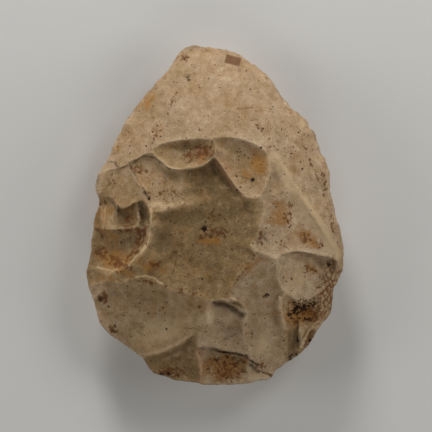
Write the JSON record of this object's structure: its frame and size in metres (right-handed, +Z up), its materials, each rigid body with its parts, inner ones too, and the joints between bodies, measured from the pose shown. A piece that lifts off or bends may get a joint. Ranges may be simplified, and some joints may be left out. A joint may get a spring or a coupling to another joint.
{
  "type": "stone hand axe",
  "caption": "Heart-shaped flint hand axe flaked over both faces, with a rounded tip, sharp margins and a broad thick butt, lying on its flatter face.",
  "frame": {"origin": "on the ground under the middle of the axe's length and breadth", "axes": "+Y along the length towards the tip, +Z up out of the more worked face, +X to the right seen from above"},
  "size_m": [0.091, 0.12, 0.0346],
  "materials": {
    "flint": "satin"
  },
  "bodies": {
    "root": {"hand_axe": "flint"}
  },
  "joints": []
}
